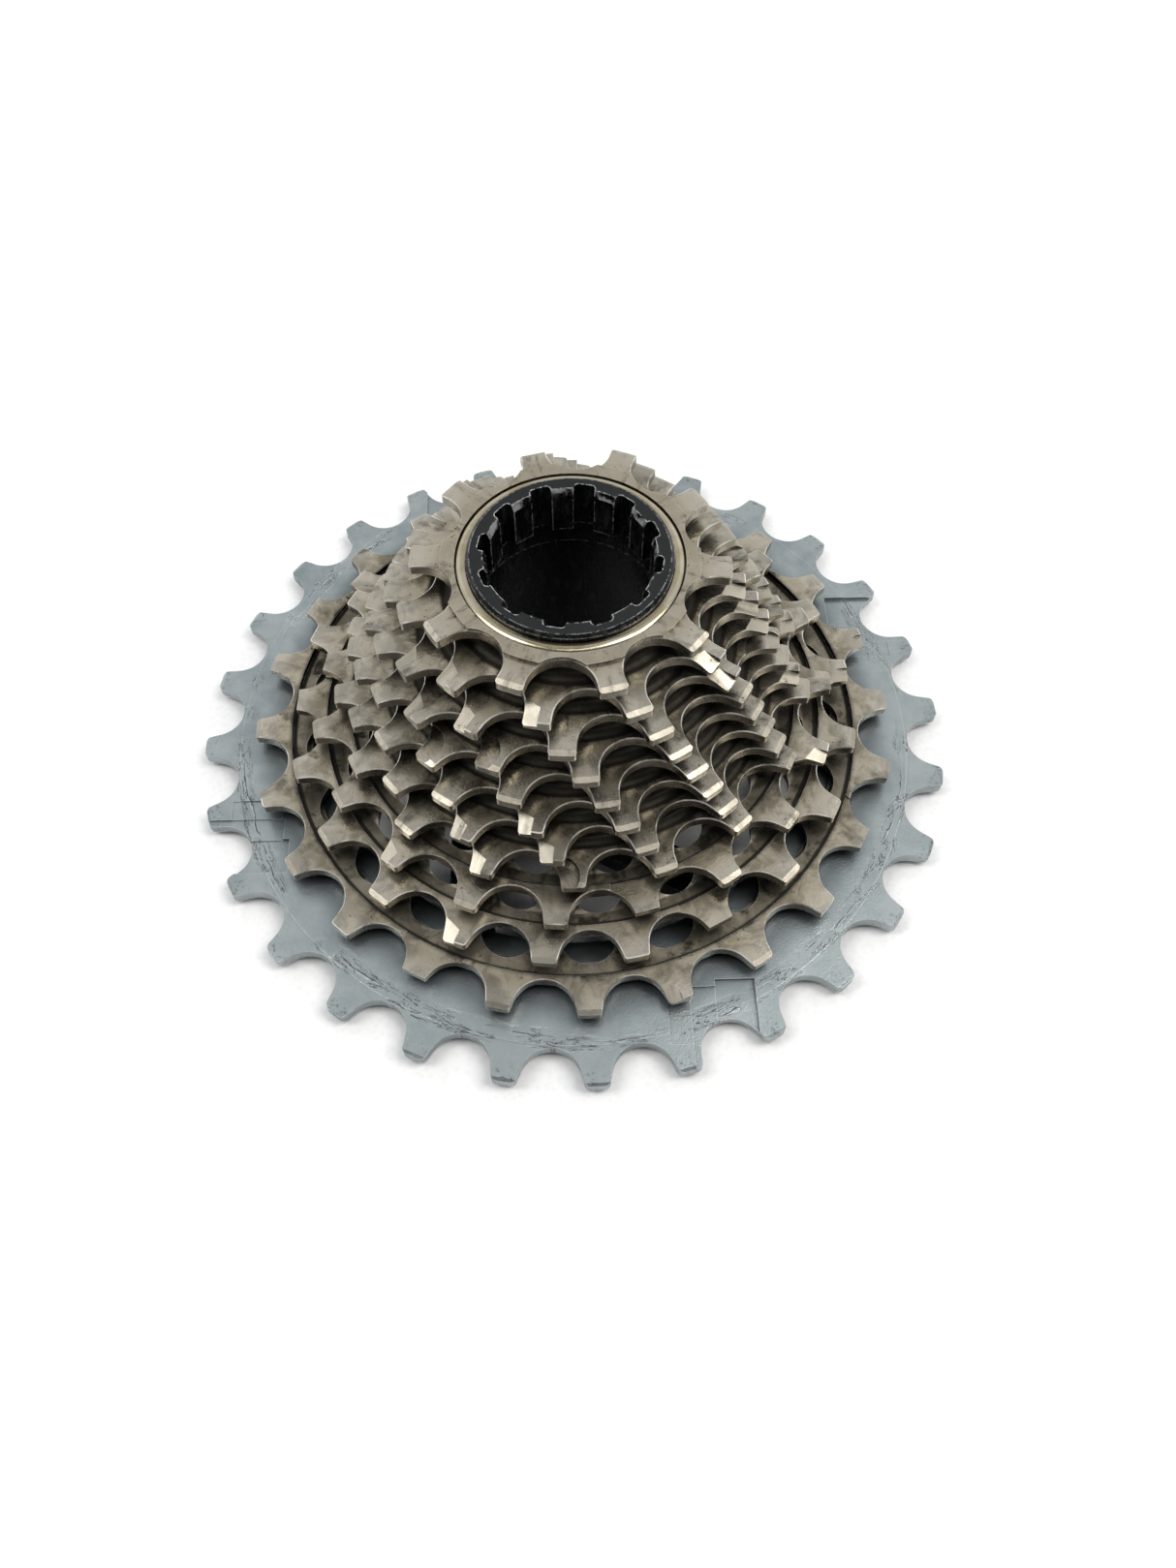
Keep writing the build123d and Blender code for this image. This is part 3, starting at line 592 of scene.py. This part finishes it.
def golden_ring():
    """Thin polished ring with a slightly golden oxide tint, fine turned lines and painted shade in the
    crevices at its edges.
    """
    gold = Surface("ring_polish")
    lines = gold.noise(**RING_LINE, where=gold.wrapped(RING_LINE_WRAP, gold.radius))
    stain = gold.ramp(gold.noise(**RING_STAIN), *RING_STAIN_EDGE)
    colour = gold.mix(stain, RING_GOLD, RING_GOLD_PALE)
    # painted shade in the crevices beside the ring
    depth = gold.product(gold.cavity(RING_CAVITY_REACH), RING_CAVITY_SHADE_COVER)
    colour = gold.mix(depth, colour, RING_GOLD_SHADE)
    gold.bump(lines, RING_LINE_DEPTH)
    return gold.finish(colour, gold.ramp(lines, *RING_GLOSS_LINE, *RING_ROUGHNESS))


def pin_steel():
    """Ground steel with a fine grain."""
    pin = Surface("pin_ground_steel")
    grain = pin.noise(**PIN_GRAIN)
    pin.bump(grain, PIN_GRAIN_DEPTH)
    rough = pin.ramp(grain, *PIN_GLOSS_GRAIN, *PIN_ROUGHNESS)
    return pin.finish(pin.mix(grain, PIN_DARK, PIN_LIGHT), rough)


def dress(node, material):
    """Gives a CAD node its material, in every slot its mesh has."""
    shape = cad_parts[node]
    if not shape.material_slots:
        shape.data.materials.append(material)
    for slot in shape.material_slots:
        slot.material = material


for steel_node in STEEL_NODES:
    dress(steel_node, nickel_steel(steel_node))
dress("sprocket_28t", grey_anodised("sprocket_28t"))
dress("lock_tube", black_coat("lock_tube_black", TUBE_ROUGHNESS, TUBE_WEAR))
dress("driver_spider", black_coat("spider_black", SPIDER_ROUGHNESS, SPIDER_WEAR))
dress("retaining_ring", golden_ring())
dress("drive_pins", pin_steel())


# ---- floor, light and camera ------------------------------------------------------------------------
def link(item):
    bpy.context.scene.collection.objects.link(item)


def floor():
    """Plain pale floor. Around the cassette it glows a little, so that it stays white; the glow fades
    out close to the cassette, which paints a shade round it.
    """
    low, high = -FLOOR_HALF, FLOOR_HALF
    mesh = bpy.data.meshes.new("floor")
    mesh.from_pydata([(low, low, 0), (high, low, 0), (high, high, 0), (low, high, 0)],
                     [], [(0, 1, 2, 3)])
    plane = bpy.data.objects.new("floor", mesh)
    link(plane)
    pale = Surface("floor_cloth")
    colour = pale.mix(pale.ramp(pale.cells(FLOOR_CELL), *FLOOR_CELL_EDGE), FLOOR_WHITE, FLOOR_PALE)
    # no glow close to the cassette, which paints a shade round it
    glow = pale.ramp(pale.radius, *FLOOR_GLOW_RADIUS, 0.0, FLOOR_GLOW)
    pale.feed(pale.shader.inputs["Emission Color"], colour)
    pale.feed(pale.shader.inputs["Emission Strength"], glow)
    mesh.materials.append(pale.finish(colour, FLOOR_ROUGHNESS, metallic=0.0))


def softbox(name, place, size, watts, colour):
    """Soft rectangular light that faces the cassette."""
    lamp = bpy.data.lights.new(name, "AREA")
    lamp.shape = "RECTANGLE"
    lamp.size, lamp.size_y = size
    lamp.energy = watts
    lamp.color = colour
    holder = bpy.data.objects.new(name, lamp)
    holder.location = place
    towards = Vector(LIGHT_AIM) - Vector(place)
    holder.rotation_euler = towards.to_track_quat("-Z", "Y").to_euler()
    link(holder)


def studio():
    """Soft lights either side of the picture's middle, a bright back and a dark front."""
    world = bpy.data.worlds.new("studio")
    world.use_nodes = True
    background = world.node_tree.nodes["Background"]
    sky = Nodes(world.node_tree)
    x, y, _ = sky.axes(sky.add("ShaderNodeTexCoord").outputs["Generated"])
    back = sky.ramp(y, *SKY_FRONT_TO_BACK, *SKY_BACK_GLOW)
    sides = sky.ramp(sky.math("ABSOLUTE", x), *SKY_MIDDLE_TO_SIDE, *SKY_SIDE_GLOW, smooth=False)
    sky.feed(background.inputs["Strength"], sky.product(back, sides))
    sky.feed(background.inputs["Color"], SKY_TINT)
    bpy.context.scene.world = world
    bpy.context.scene.view_settings.view_transform = "Standard"
    for name, (place, size, watts, colour) in SOFTBOXES.items():
        softbox(name, place, size, watts, colour)


def camera():
    """Camera at the photograph's viewing angle."""
    elevation = math.radians(CAMERA_ELEVATION)
    roll = math.radians(CAMERA_ROLL)
    back = Vector((0, -math.cos(elevation), math.sin(elevation)))
    level_right = Vector((1, 0, 0))
    level_up = back.cross(level_right)
    right = math.cos(roll) * level_right + math.sin(roll) * level_up
    up = math.cos(roll) * level_up - math.sin(roll) * level_right
    slide_right, slide_up = CAMERA_SLIDE
    place = CAMERA_AIM + back * CAMERA_DISTANCE + right * slide_right + up * slide_up
    lens = bpy.data.cameras.new("camera")
    lens.lens = LENS
    lens.sensor_width = SENSOR_WIDTH
    lens.shift_x, lens.shift_y = SHIFT
    lens.clip_start = NEAREST_SEEN
    holder = bpy.data.objects.new("camera", lens)
    holder.matrix_world = Matrix.Translation(place) @ Matrix((right, up, back)).transposed().to_4x4()
    link(holder)
    bpy.context.scene.camera = holder


floor()
studio()
camera()
